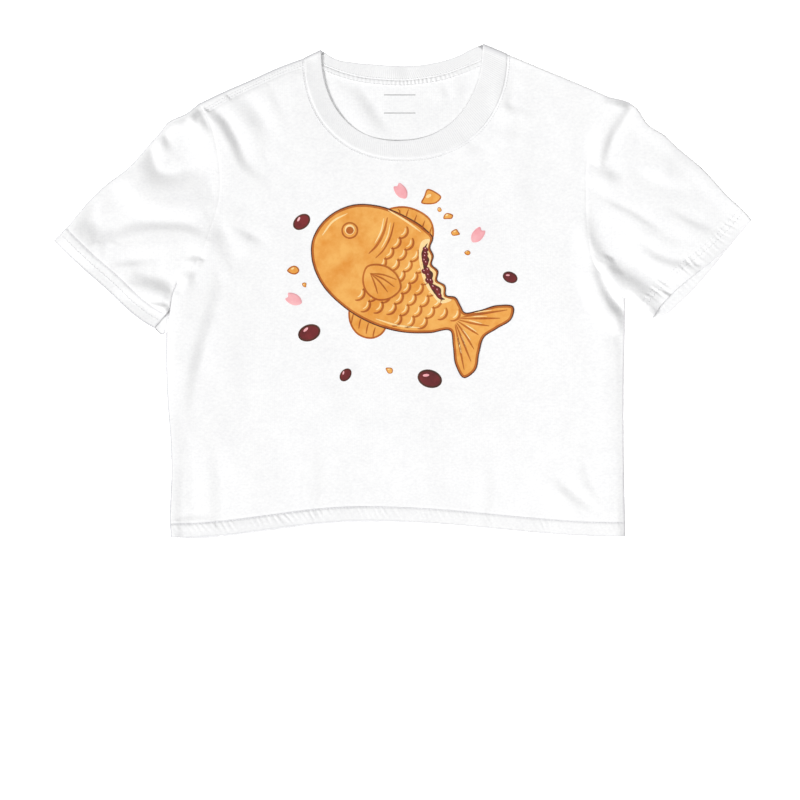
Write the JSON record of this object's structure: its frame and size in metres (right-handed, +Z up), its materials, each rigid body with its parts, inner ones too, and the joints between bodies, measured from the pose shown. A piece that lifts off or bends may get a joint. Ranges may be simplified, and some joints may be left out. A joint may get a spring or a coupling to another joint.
{
  "type": "cropped t-shirt",
  "caption": "White cropped crew-neck T-shirt with set-in short sleeves, a ribbed neckband and a plain fish-waffle screen print, laid flat with its front up.",
  "frame": {"origin": "under the middle of the shirt's box, on the surface that it lies on", "axes": "+X across the shirt towards the sleeve on the viewer's right, +Y from the hem towards the neck, +Z up out of the front"},
  "size_m": [0.7316, 0.517, 0.012],
  "materials": {
    "jersey": "matte white cotton single jersey",
    "rib": "matte white cotton rib knit, folded double",
    "tape": "matte white cotton jersey binding",
    "thread": "white spun polyester sewing thread",
    "ink_gold": "thin flexible screen-print ink, golden",
    "ink_toast": "thin flexible screen-print ink, toasted brown",
    "ink_brown": "thin flexible screen-print ink, dark brown",
    "ink_cream": "thin flexible screen-print ink, cream",
    "ink_bean": "thin flexible screen-print ink, bean red",
    "ink_pink": "thin flexible screen-print ink, pale pink",
    "ink_grey": "thin transfer ink, mid grey"
  },
  "bodies": {
    "root": {"front_panel": "jersey", "back_panel": "jersey", "sleeve_left": "jersey", "sleeve_right": "jersey", "neck_rib": "rib", "neck_tape": "tape"}
  },
  "joints": []
}
